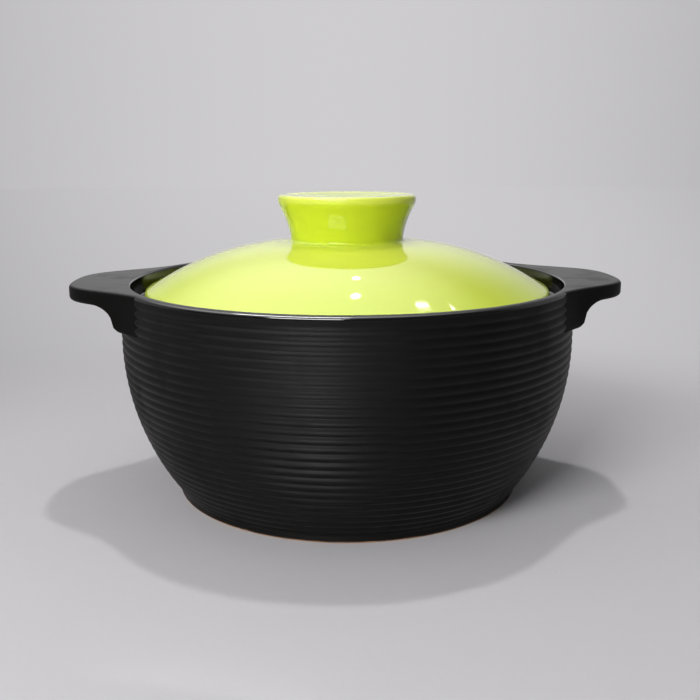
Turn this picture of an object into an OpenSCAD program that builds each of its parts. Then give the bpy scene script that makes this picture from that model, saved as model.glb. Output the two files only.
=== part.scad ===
// Round two-handled casserole with a ribbed wall and a domed lid that drops into a seat inside the rim.
// Millimetres, +Z up. The origin is on the table under the middle of the bowl, the handles lie along X.

/* [Bowl wall] */
// Largest outer radius of the bowl, over the crests of the ribs
belly_r = 110; // [100:1:125]
// Height of that widest point above the table
belly_h = 76; // [72:1:80]
// Height of the rim above the table
rim_h = 103.3; // [101:0.1:108]
// Radius of the arc that draws the wall in from the belly to the foot
lower_arc_r = 120; // [114:1:140]
// Radius of the flat arc from the belly up to the rim
upper_arc_r = 410; // [300:10:500]
// Thickness of the wall
wall_t = 6.5; // [5.5:0.25:7]
// Thickness of the floor
floor_t = 8; // [6:0.5:10]
// Radius of the round corner between floor and wall inside
floor_fillet_r = 14; // [8:1:20]

/* [Ribs] */
// Distance from groove to groove, measured along the wall
rib_pitch = 3.9; // [3:0.05:5]
// Depth of a groove below the crests
rib_depth = 0.6; // [0.3:0.05:0.9]
// Height of the plain band between the rim and the first groove
rim_band_h = 5.8; // [5:0.2:9]

/* [Rim and lid seat] */
// Thickness of the lip above the lid seat
lip_t = 4.3; // [3.8:0.1:5]
// Radius of the lip's outer edge
lip_outer_edge_r = 1.8; // [1:0.1:2]
// Radius of the lip's inner edge
lip_inner_edge_r = 1.3; // [0.8:0.1:1.6]
// Depth of the lid seat below the rim
seat_depth = 9.4; // [8.6:0.2:11]
// How much narrower the lip is at the seat than at the rim
lip_draft = 0.8; // [0.2:0.1:1.4]
// Width of the ledge that carries the lid
seat_w = 9; // [8.5:0.25:10]
// Thickness of the ledge at its inner edge
seat_t = 3.6; // [2.8:0.2:4.4]
// Height of the slope that blends the ledge into the wall below
seat_slope_h = 9; // [7:0.5:11]
// Radius of the ledge's inner edge
seat_edge_r = 1; // [0.6:0.1:1.4]

/* [Foot ring] */
// Height of the bare foot ring
foot_h = 3; // [2.4:0.2:4]
// Width of the foot ring
foot_w = 9; // [7:0.5:14]
// Bevel on the lower edges of the foot ring
foot_bevel = 0.7; // [0.3:0.1:1]

/* [Handles] */
// How far a handle reaches past the wall
handle_reach = 25; // [20:0.5:30]
// Angle from the middle of a handle to where it has lost half its reach
handle_half_angle = 18.6; // [16:0.2:20]
// How square the end of a handle is
handle_squareness = 3.9; // [3.4:0.1:6]
// Angle from the middle of a handle to where its root runs out on the wall
handle_root_angle = 29; // [27:0.5:33]
// Thickness of the part that is gripped
handle_t = 7.2; // [6:0.1:9]
// Radius of the hollow under a handle, where the fingers lie
handle_hollow_r = 9; // [8:0.5:12]
// How far the lower end of the root stands out from the wall
handle_toe_w = 4.4; // [3.5:0.1:6]
// Radius of the lower end of the root
handle_toe_r = 2.2; // [1.5:0.1:3]
// Radius of the lower edge of the grip
handle_lower_edge_r = 1.8; // [1.2:0.1:3]
// Thickness of the slip that joins a handle to the wall
handle_slip_t = 0.08; // [0.06:0.01:0.12]

/* [Lid] */
// Gap between the lid's edge and the lip at the seat
lid_clear = 5.4; // [4:0.2:5.6]
// Thickness of the lid
lid_t = 5.5; // [4.5:0.25:6.5]
// Height of the lid's upright edge
lid_edge_h = 3.6; // [2.4:0.1:4]
// Radius that rolls the dome over into the upright edge
lid_edge_r = 3; // [2:0.1:4]
// Bevel under the lid's edge
lid_edge_bevel = 0.8; // [0.4:0.1:1.2]
// Width of the plain cone inside the edge
lid_cone_w = 9.3; // [6:0.1:14]
// Slope of that cone
lid_cone_angle = 28.6; // [26:0.2:32]
// Radius of the flat arc over the middle of the dome
crown_arc_r = 330; // [280:10:500]
// Radius at which the crown passes into the shoulder
crown_w = 39.5; // [35:0.5:48]
// Gap between the locating flange and the ledge
flange_clear = 1.4; // [0.8:0.1:2]
// Thickness of the locating flange
flange_t = 4.2; // [3:0.2:5]
// How far the flange hangs below the seat
flange_h = 6; // [4:0.5:9]
// Radius of the flange's lower edges
flange_edge_r = 1; // [0.6:0.1:1.4]

/* [Knob] */
// Height of the knob above the top of the dome
knob_h = 21; // [18:0.1:24]
// Radius of the knob at the level where its flare would stand upright
knob_waist_r = 26.9; // [24:0.1:30]
// How far that level lies below the top of the dome
knob_waist_depth = 7.2; // [5:0.1:9]
// Radius of the hollow curve from the dome up to the lip
knob_flare_r = 47.5; // [44:0.5:52]
// Radius of the outward curve from there up to the widest part of the lip
knob_cheek_r = 6.8; // [5:0.1:9]
// Radius of the lip from its widest part over to the dish
knob_lip_r = 2; // [1.6:0.1:2.6]
// Radius of the fillet where the knob meets the dome
knob_foot_r = 1.4; // [0.8:0.1:2]
// Depth of the dish in the knob's top
knob_dish_h = 2.4; // [1:0.1:3]
// Radius of the hollow inside the knob
knob_hollow_r = 19; // [14:0.5:20]
// Thickness of the knob under its dish
knob_roof_t = 5.8; // [5:0.2:7]
// Radius of the round corner at the top of the hollow
knob_hollow_edge_r = 4; // [2:0.5:6]

/* [Hidden] */

// Facets of a full turn, steps of one rib, and steps of the other curves
round_fn = 180;
rib_steps = 6;
wall_steps = 22;
edge_steps = 4;
band_steps = 3;
dome_steps = 10;
handle_sections = 28;
handle_side_steps = 4;
handle_hollow_steps = 14;
// Share of the root angle by which the handle's sections crowd together where its outline turns
handle_crowding_share = 0.08;
// Thin edge that the root of a handle ends in on the wall
handle_feather = wall_t / 26;

rad = 180 / PI;
glaze_black = "#242424";
glaze_lime = "#b4d62a";
bare_clay = "#9a6540";

// Points of an arc about a centre, from one angle to another
function arc(centre, r, from, to, steps) =
    [for (i = [0:steps]) let (a = from + (to - from) * i / steps) centre + r * [cos(a), sin(a)]];

// The wall is followed by its length, s, which is zero at the belly and grows upwards
function arc_r_at(s) = s < 0 ? lower_arc_r : upper_arc_r;
function wall_point(s, inset) =
    let (r = arc_r_at(s), a = s / r * rad)
    [belly_r - r + (r - inset) * cos(a), belly_h + (r - inset) * sin(a)];
function wall_length(z) =
    let (r = z < belly_h ? lower_arc_r : upper_arc_r)
    r * asin((z - belly_h) / r) / rad;
function wall_r_at(z) = wall_point(wall_length(z), 0)[0];

// Lid seat, from the rim inwards
lip_centre_z = rim_h - lip_outer_edge_r;
lip_centre_r = wall_r_at(lip_centre_z) - lip_outer_edge_r;
mouth_r = wall_r_at(rim_h) - lip_t;
seat_h = rim_h - seat_depth;
seat_outer_r = mouth_r - lip_draft;
seat_r = seat_outer_r - seat_w;
slope_top_h = seat_h - seat_t;
slope_end_s = wall_length(slope_top_h - seat_slope_h);

// Grooves: the first one lies under the plain band, the last one at least half a rib above the foot
first_groove_s = wall_length(rim_h - rim_band_h);
foot_s = wall_length(foot_h);
groove_count = floor((first_groove_s - foot_s) / rib_pitch + 0.5);
ribbed_top_s = first_groove_s + rib_pitch / 2;
foot_r = wall_r_at(foot_h);

// Ribbed part of the wall, from its lowest crest up to its highest one
ribs = [for (i = [groove_count * rib_steps:-1:0])
    let (inset = rib_depth * (1 - abs(cos(180 * i / rib_steps))))
    wall_point(ribbed_top_s - i * rib_pitch / rib_steps, inset)];
band = [for (i = [1:band_steps])
    wall_point(ribbed_top_s + (wall_length(lip_centre_z) - ribbed_top_s) * i / band_steps, 0)];
lip_outer = arc([lip_centre_r, lip_centre_z], lip_outer_edge_r, 0, 90, edge_steps);
outside = concat(ribs, band, [for (i = [1:edge_steps]) lip_outer[i]]);

// Inside of the bowl
inner_arc_r = lower_arc_r - wall_t;
floor_h = foot_h + floor_t;
fillet_centre_h = floor_h + floor_fillet_r;
fillet_angle = asin((belly_h - fillet_centre_h) / (inner_arc_r - floor_fillet_r));
fillet_centre_r = belly_r - lower_arc_r + (inner_arc_r - floor_fillet_r) * cos(fillet_angle);
fillet_s = -lower_arc_r * fillet_angle / rad;
inside = concat(
    arc([mouth_r + lip_inner_edge_r, rim_h - lip_inner_edge_r], lip_inner_edge_r, 90, 180, edge_steps),
    [[seat_outer_r, seat_h]],
    arc([seat_r + seat_edge_r, seat_h - seat_edge_r], seat_edge_r, 90, 180, edge_steps),
    [[seat_r, slope_top_h]],
    [for (i = [0:wall_steps - 1]) wall_point(slope_end_s + (fillet_s - slope_end_s) * i / wall_steps, wall_t)],
    arc([fillet_centre_r, fillet_centre_h], floor_fillet_r, -fillet_angle, -90, wall_steps / 2),
    [[0, floor_h]]);

module bowl() {
    color(glaze_black)
        rotate_extrude($fn = round_fn)
            polygon(concat([[0, foot_h], [foot_r, foot_h]], outside, inside));
}

module foot_ring() {
    color(bare_clay)
        rotate_extrude($fn = round_fn)
            polygon([
                [foot_r - foot_w + foot_bevel, 0],
                [foot_r - foot_bevel, 0],
                [foot_r, foot_bevel],
                [foot_r, foot_h],
                [foot_r - foot_w, foot_h],
                [foot_r - foot_w, foot_bevel]]);
}

// The root of a handle is moulded over the ribs, so its inner face is the wall's outline, one layer of slip away
handle_root_h = rim_h - handle_t - handle_hollow_r - handle_toe_r;
moulded = [for (p = outside) p + [handle_slip_t, 0]];
root_r = lookup(handle_root_h, [for (p = moulded) [p[1], p[0]]]);
root_face = concat([[root_r, handle_root_h]], [for (p = moulded) if (p[1] > handle_root_h) p]);
handle_tip_r = wall_r_at(rim_h) + handle_reach;

// Share of its reach that a handle has at an angle from its middle, one there and zero at the root's end
function reach_bell(a) = 1 / (1 + pow(abs(a) / handle_half_angle, handle_squareness));
function reach_share(a) =
    (reach_bell(a) - reach_bell(handle_root_angle)) / (1 - reach_bell(handle_root_angle));
function side_r(a, z) =
    let (foot = wall_r_at(z) + handle_feather)
    foot + (handle_tip_r - foot) * reach_share(a);
// How much longer than its radius a rounded edge is along the radius, where the outline runs aslant
function slant(a) =
    let (turn = handle_root_angle / handle_sections)
    let (rise = (side_r(a + turn, rim_h) - side_r(a - turn, rim_h)) / (2 * turn / rad))
    norm([1, rise / side_r(a, rim_h)]);

// Underside of a handle, followed by its length from the wall: flat toe, round toe, hollow, level grip
toe_flat = handle_toe_w - handle_toe_r;
toe_end = toe_flat + handle_toe_r * 90 / rad;
hollow_end = toe_end + handle_hollow_r * 90 / rad;
function under_length(x) =
    x < toe_flat ? x
    : x < handle_toe_w ? toe_flat + handle_toe_r * asin((x - toe_flat) / handle_toe_r) / rad
    : x < handle_toe_w + handle_hollow_r
        ? toe_end + handle_hollow_r * acos(1 - (x - handle_toe_w) / handle_hollow_r) / rad
    : hollow_end + x - handle_toe_w - handle_hollow_r;
function under_point(t) =
    t < toe_flat ? [t, 0]
    : t < toe_end
        ? let (a = (t - toe_flat) / handle_toe_r * rad)
          [toe_flat + handle_toe_r * sin(a), handle_toe_r * (1 - cos(a))]
    : t < hollow_end
        ? let (a = (t - toe_end) / handle_hollow_r * rad)
          [handle_toe_w + handle_hollow_r * (1 - cos(a)), handle_toe_r + handle_hollow_r * sin(a)]
    : [handle_toe_w + handle_hollow_r + t - hollow_end, handle_toe_r + handle_hollow_r];

// Upright section of a handle at an angle from its middle
function handle_section(a) =
    let (stretch = slant(a))
    let (low_r = side_r(a, handle_root_h))
    let (edge = min(handle_lower_edge_r * stretch, (low_r - root_r) / 2))
    let (edge_h = edge / stretch)
    let (t_end = under_length(low_r - edge - root_r))
    let (under_end = under_point(t_end))
    let (side_low_h = handle_root_h + under_end[1] + edge_h)
    concat(
        [for (i = [edge_steps:-1:0]) let (b = 90 * i / edge_steps)
            [side_r(a, lip_centre_z) - lip_outer_edge_r * stretch * (1 - cos(b)),
             lip_centre_z + lip_outer_edge_r * sin(b)]],
        [for (i = [1:handle_side_steps - 1]) let (z = lip_centre_z + (side_low_h - lip_centre_z) * i / handle_side_steps)
            [side_r(a, z), z]],
        [for (i = [0:edge_steps]) let (b = 90 * i / edge_steps)
            [side_r(a, side_low_h) - edge * (1 - cos(b)), side_low_h - edge_h * sin(b)]],
        [for (i = [handle_hollow_steps - 1:-1:1])
            [root_r, handle_root_h] + under_point(t_end * i / handle_hollow_steps)],
        root_face);

section_angles = [for (i = [0:handle_sections])
    let (t = 2 * i / handle_sections - 1)
    handle_root_angle * (t + handle_crowding_share * sin(360 * t))];

// A handle is one closed skin over its sections
module handle() {
    sections = [for (a = section_angles) handle_section(a)];
    m = len(sections[0]);
    points = [for (i = [0:handle_sections]) for (p = sections[i])
        [p[0] * cos(section_angles[i]), p[0] * sin(section_angles[i]), p[1]]];
    skin = [for (i = [0:handle_sections - 1]) for (j = [0:m - 1])
        let (k = (j + 1) % m)
        each [
            [i * m + j, (i + 1) * m + k, (i + 1) * m + j],
            [i * m + j, i * m + k, (i + 1) * m + k]]];
    first_end = [for (j = [m - 1:-1:0]) j];
    last_end = [for (j = [0:m - 1]) handle_sections * m + j];
    color(glaze_black)
        polyhedron(points, concat(skin, [first_end, last_end]), convexity = 6);
}

module handle_right() {
    handle();
}

module handle_left() {
    mirror([1, 0, 0]) handle();
}

// Lid profile, from its upright edge inwards and upwards: edge roll, cone, shoulder arc, crown arc
lid_r = seat_outer_r - lid_clear;
roll_centre = [lid_r - lid_edge_r, seat_h + lid_edge_h];
cone_foot = roll_centre + lid_edge_r * [sin(lid_cone_angle), cos(lid_cone_angle)];
cone_top = cone_foot + lid_cone_w * [-1, tan(lid_cone_angle)];
crown_angle = asin(crown_w / crown_arc_r);
shoulder_arc_r = (cone_top[0] - crown_w) / (sin(lid_cone_angle) - sin(crown_angle));
shoulder_centre = cone_top - shoulder_arc_r * [sin(lid_cone_angle), cos(lid_cone_angle)];
crown_edge = shoulder_centre + shoulder_arc_r * [sin(crown_angle), cos(crown_angle)];
crown_centre = crown_edge - crown_arc_r * [sin(crown_angle), cos(crown_angle)];
dome_h = crown_centre[1] + crown_arc_r;
function crown_h_at(r) = crown_centre[1] + sqrt(pow(crown_arc_r, 2) - pow(r, 2));

flange_r = seat_r - flange_clear;
flange_inner_r = flange_r - flange_t;
// Height of the cone's underside at the flange
under_cone_h = cone_foot[1] + (cone_foot[0] - flange_inner_r) * tan(lid_cone_angle) - lid_t / cos(lid_cone_angle);
crown_hole_angle = asin(knob_hollow_r / crown_arc_r);
under_hole_angle = asin(knob_hollow_r / (crown_arc_r - lid_t));

module lid_dome() {
    upper = concat(
        arc(roll_centre, lid_edge_r, 0, 90 - lid_cone_angle, edge_steps),
        arc(shoulder_centre, shoulder_arc_r, 90 - lid_cone_angle, 90 - crown_angle, dome_steps),
        [for (p = arc(crown_centre, crown_arc_r, 90 - crown_angle, 90 - crown_hole_angle, dome_steps / 2))
            if (p[0] < crown_edge[0]) p]);
    lower = concat(
        arc(crown_centre, crown_arc_r - lid_t, 90 - under_hole_angle, 90 - crown_angle, dome_steps / 2),
        [for (p = arc(shoulder_centre, shoulder_arc_r - lid_t, 90 - crown_angle, 90 - lid_cone_angle, dome_steps))
            if (p[0] > crown_edge[0]) p],
        [[flange_inner_r, under_cone_h]],
        arc([flange_inner_r + flange_edge_r, seat_h - flange_h + flange_edge_r], flange_edge_r, 180, 270, edge_steps),
        arc([flange_r - flange_edge_r, seat_h - flange_h + flange_edge_r], flange_edge_r, 270, 360, edge_steps),
        [[flange_r, seat_h], [lid_r - lid_edge_bevel, seat_h], [lid_r, seat_h + lid_edge_bevel]]);
    color(glaze_lime)
        rotate_extrude($fn = round_fn)
            polygon(concat(upper, lower));
}

// The knob stands on the crown, over the hole that opens into its hollow
knob_top_h = dome_h + knob_h;
flare_centre = [knob_waist_r + knob_flare_r, dome_h - knob_waist_depth];
knob_lip_h = knob_top_h - knob_lip_r;
cheek_tangent_angle = asin((knob_lip_h - flare_centre[1]) / (knob_flare_r + knob_cheek_r));
cheek_centre = [flare_centre[0] - (knob_flare_r + knob_cheek_r) * cos(cheek_tangent_angle), knob_lip_h];
knob_lip_centre = [cheek_centre[0] + knob_cheek_r - knob_lip_r, knob_lip_h];
// The fillet's circle touches the crown from above and the flare from within
knob_foot_centre_h = crown_h_at(knob_waist_r + knob_foot_r) + knob_foot_r;
foot_tangent_angle = asin((knob_foot_centre_h - flare_centre[1]) / (knob_flare_r - knob_foot_r));
knob_foot_edge_r = flare_centre[0] - (knob_flare_r - knob_foot_r) * cos(foot_tangent_angle);
// The dish is a shallow arc inside the lip
dish_arc_r = (pow(knob_lip_centre[0], 2) + pow(knob_dish_h, 2)) / (2 * knob_dish_h);
dish_angle = asin(knob_lip_centre[0] / dish_arc_r);
roof_h = knob_top_h - knob_dish_h - knob_roof_t;

module lid_knob() {
    base = [for (i = [0:edge_steps])
        let (r = knob_hollow_r + (knob_foot_edge_r - knob_hollow_r) * i / edge_steps)
        [r, crown_h_at(r)]];
    foot_fillet = arc([knob_foot_edge_r, knob_foot_centre_h], knob_foot_r, 270, 180 - foot_tangent_angle, edge_steps);
    flare = arc(flare_centre, knob_flare_r, 180 - foot_tangent_angle, 180 - cheek_tangent_angle, dome_steps);
    cheek = arc(cheek_centre, knob_cheek_r, -cheek_tangent_angle, 0, edge_steps);
    lip = arc(knob_lip_centre, knob_lip_r, 0, 90, dome_steps);
    dish = arc([0, knob_top_h - knob_dish_h + dish_arc_r], dish_arc_r, dish_angle - 90, -90, dome_steps);
    hollow = arc([knob_hollow_r - knob_hollow_edge_r, roof_h - knob_hollow_edge_r], knob_hollow_edge_r, 90, 0, edge_steps);
    color(glaze_lime)
        rotate_extrude($fn = round_fn)
            polygon(concat(
                base,
                [for (i = [1:edge_steps]) foot_fillet[i]],
                [for (i = [1:dome_steps]) flare[i]],
                [for (i = [1:edge_steps]) cheek[i]],
                [for (i = [1:dome_steps]) lip[i]],
                [for (i = [1:dome_steps]) dish[i]],
                [[0, roof_h]],
                hollow));
}

bowl();
foot_ring();
handle_right();
handle_left();
lid_dome();
lid_knob();
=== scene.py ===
"""Looks of a ribbed two-handled casserole with a domed lid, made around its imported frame.

Metres, +Z up. The origin lies on the table under the middle of the bowl, and the handles lie along X. Each
part is turned or swept as a potter would make it, glazed by its own finish, and rides on the pot or the lid.
"""

import logging
import math
from dataclasses import dataclass, field, replace
from enum import Enum
from typing import Any, Callable, Iterable, Sequence

import bpy
from mathutils import Matrix, Vector


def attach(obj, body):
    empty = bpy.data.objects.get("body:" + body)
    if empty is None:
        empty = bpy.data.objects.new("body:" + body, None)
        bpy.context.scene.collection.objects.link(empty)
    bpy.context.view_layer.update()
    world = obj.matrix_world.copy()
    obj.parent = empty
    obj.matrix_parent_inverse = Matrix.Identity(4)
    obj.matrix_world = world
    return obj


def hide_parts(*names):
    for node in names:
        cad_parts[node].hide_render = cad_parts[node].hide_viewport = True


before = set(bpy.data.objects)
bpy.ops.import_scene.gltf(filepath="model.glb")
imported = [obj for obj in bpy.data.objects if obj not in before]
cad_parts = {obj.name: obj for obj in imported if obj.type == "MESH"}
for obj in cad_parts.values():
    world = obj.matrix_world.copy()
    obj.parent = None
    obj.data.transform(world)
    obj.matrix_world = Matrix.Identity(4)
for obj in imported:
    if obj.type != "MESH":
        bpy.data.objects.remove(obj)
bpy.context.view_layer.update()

MM = 0.001
FULL_TURN = 360.0
# The bench works to a hundredth of a millimetre when it joins points that lie on each other
JOIN_DISTANCE = 0.01 * MM
# Metres from the origin to a place that lies past every piece
FAR = 1.0
LOG = logging.getLogger("casserole")

Point = tuple[float, float]
Colour = tuple[float, float, float, float]
Socket = bpy.types.NodeSocket
Outputs = bpy.types.NodeOutputs


class Body(str, Enum):
    """The two loose bodies of the casserole."""

    POT = "pot"
    LID = "lid"


class Slot(str, Enum):
    """Material slots of the record."""

    BLACK = "black_glaze"
    LIME = "lime_glaze"
    CLAY = "bare_clay"


class Side(float, Enum):
    """Directions that the two handles point in, in degrees about the bowl's axis."""

    RIGHT = 0.0
    LEFT = 180.0


def arc(centre: Point, radius: float, start: float, end: float, steps: int) -> list[Point]:
    """Gives the points of an arc in a profile, both ends included.

    Args:
        centre: Radius and height of the arc's centre.
        radius: Radius of the arc.
        start: Angle of the first point in degrees, from the outward direction.
        end: Angle of the last point in degrees.
        steps: Number of chords.

    Returns:
        Points from start to end.
    """
    angles = [math.radians(start + (end - start) * i / steps) for i in range(steps + 1)]
    return [(centre[0] + radius * math.cos(a), centre[1] + radius * math.sin(a)) for a in angles]


class Bench:
    """Blender's own modelling operators, used on one piece at a time."""

    def __init__(self, turn_steps: int = 240) -> None:
        """Sets how many faces a full turn has."""
        self.turn_steps = turn_steps

    def clear(self) -> None:
        """Leaves edit mode and deselects everything."""
        if bpy.context.object is not None and bpy.context.object.mode != "OBJECT":
            bpy.ops.object.mode_set(mode="OBJECT")
        bpy.ops.object.select_all(action="DESELECT")

    def open(self, piece: bpy.types.Object) -> None:
        """Makes a piece the only selected one and opens its mesh for editing.

        Args:
            piece: The piece to open.
        """
        self.clear()
        piece.select_set(True)
        bpy.context.view_layer.objects.active = piece
        bpy.ops.object.mode_set(mode="EDIT")
        bpy.context.tool_settings.mesh_select_mode = (True, False, False)

    def close(self, piece: bpy.types.Object) -> None:
        """Merges doubles, closes holes, turns the faces outwards and leaves edit mode.

        Args:
            piece: The piece that is open.
        """
        bpy.ops.mesh.select_all(action="SELECT")
        bpy.ops.mesh.remove_doubles(threshold=JOIN_DISTANCE)
        bpy.ops.mesh.select_all(action="SELECT")
        bpy.ops.mesh.fill_holes(sides=0)
        bpy.ops.mesh.select_all(action="SELECT")
        bpy.ops.mesh.normals_make_consistent(inside=False)
        bpy.ops.object.mode_set(mode="OBJECT")
        piece.select_set(False)

    def draw(self, name: str, outline: Sequence[Point]) -> bpy.types.Object:
        """Draws a profile in the XZ plane by extruding one point along it.

        Args:
            name: Name of the new piece.
            outline: Radius and height of each point.

        Returns:
            The piece, open for editing, with its profile selected.
        """
        self.clear()
        bpy.ops.mesh.primitive_plane_add(size=MM, location=(outline[0][0], 0, outline[0][1]))
        piece = bpy.context.object
        piece.name = piece.data.name = name
        bpy.ops.object.transform_apply(location=True, rotation=True, scale=True)
        self.open(piece)
        bpy.ops.mesh.select_all(action="SELECT")
        bpy.ops.mesh.merge(type="CENTER")
        for (r0, z0), (r1, z1) in zip(outline, outline[1:]):
            bpy.ops.mesh.extrude_region_move(TRANSFORM_OT_translate={"value": (r1 - r0, 0, z1 - z0)})
        bpy.ops.mesh.select_all(action="SELECT")
        return piece

    def turn(self, name: str, outline: Sequence[Point], sharp_angle: float = 45.0) -> bpy.types.Object:
        """Turns a profile about the Z axis into a closed skin.

        Args:
            name: Name of the new piece.
            outline: Profile, with both ends on the axis, or with its last point on its first.
            sharp_angle: Angle in degrees past which an edge stays sharp.

        Returns:
            The turned piece.
        """
        piece = self.draw(name, outline)
        bpy.ops.mesh.spin(steps=self.turn_steps, angle=math.radians(FULL_TURN), center=(0, 0, 0),
                          axis=(0, 0, 1), use_auto_merge=True)
        self.close(piece)
        self.smooth(piece, sharp_angle)
        return piece

    def smooth(self, piece: bpy.types.Object, sharp_angle: float) -> None:
        """Shades a piece smooth, but for its sharp edges.

        Args:
            piece: The piece to shade.
            sharp_angle: Angle in degrees past which an edge stays sharp.
        """
        self.clear()
        piece.select_set(True)
        bpy.context.view_layer.objects.active = piece
        bpy.ops.object.shade_smooth_by_angle(angle=math.radians(sharp_angle))
        piece.select_set(False)


@dataclass(frozen=True)
class Cloud:
    """A cloudy pattern with blotches of about one size, in metres."""

    size: float
    detail: float = 2.0
    rough: float = 0.5


class Wiring:
    """Places and joins the nodes of one node tree."""

    def __init__(self, tree: bpy.types.NodeTree) -> None:
        """Keeps the tree that the nodes go into."""
        self.tree = tree

    def node(self, kind: str, sockets: dict[str | int, Any] | None = None, **settings: Any) -> bpy.types.Node:
        """Adds a node.

        Args:
            kind: Blender's name of the node type.
            sockets: Input name or number, and the value or output that it gets.
            **settings: Properties of the node itself.

        Returns:
            The node.
        """
        made = self.tree.nodes.new(kind)
        for key, value in settings.items():
            setattr(made, key, value)
        for key, value in (sockets or {}).items():
            self.feed(made.inputs[key], value)
        return made

    def feed(self, socket: Socket, value: Any) -> None:
        """Links an output to an input, or sets the input's own value.

        Args:
            socket: The input.
            value: An output of another node, or a plain value.
        """
        if isinstance(value, Socket):
            self.tree.links.new(value, socket)
        else:
            socket.default_value = value

    def place(self, tree: bpy.types.NodeTree, sockets: dict[str, Any]) -> Outputs:
        """Places a node group with its own values and gives its outputs."""
        return self.node("ShaderNodeGroup", sockets, node_tree=tree).outputs

    def math(self, operation: str, a: Any, b: Any = 0.0, c: Any = 0.0) -> Socket:
        """Gives the result of one sum."""
        return self.node("ShaderNodeMath", {0: a, 1: b, 2: c}, operation=operation).outputs[0]

    def plus(self, a: Any, b: Any) -> Socket:
        """Adds two values."""
        return self.math("ADD", a, b)

    def minus(self, a: Any, b: Any) -> Socket:
        """Takes the second value from the first."""
        return self.math("SUBTRACT", a, b)

    def times(self, a: Any, b: Any) -> Socket:
        """Multiplies two values."""
        return self.math("MULTIPLY", a, b)

    def vector(self, operation: str, a: Any, b: Any = (0.0, 0.0, 0.0)) -> Socket:
        """Gives the number that one sum of vectors comes to."""
        return self.node("ShaderNodeVectorMath", {0: a, 1: b}, operation=operation).outputs["Value"]

    def step(self, value: Any, low: Any, high: Any) -> Socket:
        """Gives a mask that rises softly from 0 to 1 between two values."""
        sockets = {"Value": value, "From Min": low, "From Max": high}
        return self.node("ShaderNodeMapRange", sockets, interpolation_type="SMOOTHSTEP").outputs[0]

    def scale(self, value: Any, low: Any, high: Any) -> Socket:
        """Spreads a value between 0 and 1 over a range."""
        return self.node("ShaderNodeMapRange", {"Value": value, "To Min": low, "To Max": high}).outputs[0]

    def mix(self, factor: Any, a: Any, b: Any) -> Socket:
        """Mixes two values."""
        return self.node("ShaderNodeMix", {0: factor, 2: a, 3: b}, data_type="FLOAT").outputs[0]

    def tint(self, factor: Any, a: Any, b: Any) -> Socket:
        """Mixes two colours."""
        return self.node("ShaderNodeMix", {0: factor, 6: a, 7: b}, data_type="RGBA").outputs[2]

    def cloud(self, vector: Any, cloud: Cloud) -> Socket:
        """Gives a cloudy pattern between 0 and 1."""
        sockets = {"Scale": 1 / cloud.size, "Detail": cloud.detail, "Roughness": cloud.rough}
        return self.node("ShaderNodeTexNoise", {"Vector": vector} | sockets).outputs[0]

    def swing(self, vector: Any, cloud: Cloud) -> Socket:
        """Gives a cloudy pattern that goes as far above zero as below it."""
        return self.minus(self.cloud(vector, cloud), 0.5)


def group(name: str, inputs: dict[str, str], outputs: dict[str, str],
          wire: Callable[[Wiring, Outputs], dict[str, Socket]]) -> bpy.types.NodeTree:
    """Makes a shader node group.

    Args:
        name: Name of the group.
        inputs: Socket type of each input, by name.
        outputs: Socket type of each output, by name.
        wire: Places the nodes, given the group's inputs, and gives back what each output shows.

    Returns:
        The group.
    """
    tree = bpy.data.node_groups.new(name, "ShaderNodeTree")
    for side, sockets in (("INPUT", inputs), ("OUTPUT", outputs)):
        for label, kind in sockets.items():
            tree.interface.new_socket(name=label, in_out=side, socket_type=kind)
    w = Wiring(tree)
    w.node("NodeGroupOutput", wire(w, w.node("NodeGroupInput").outputs))
    return tree


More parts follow.
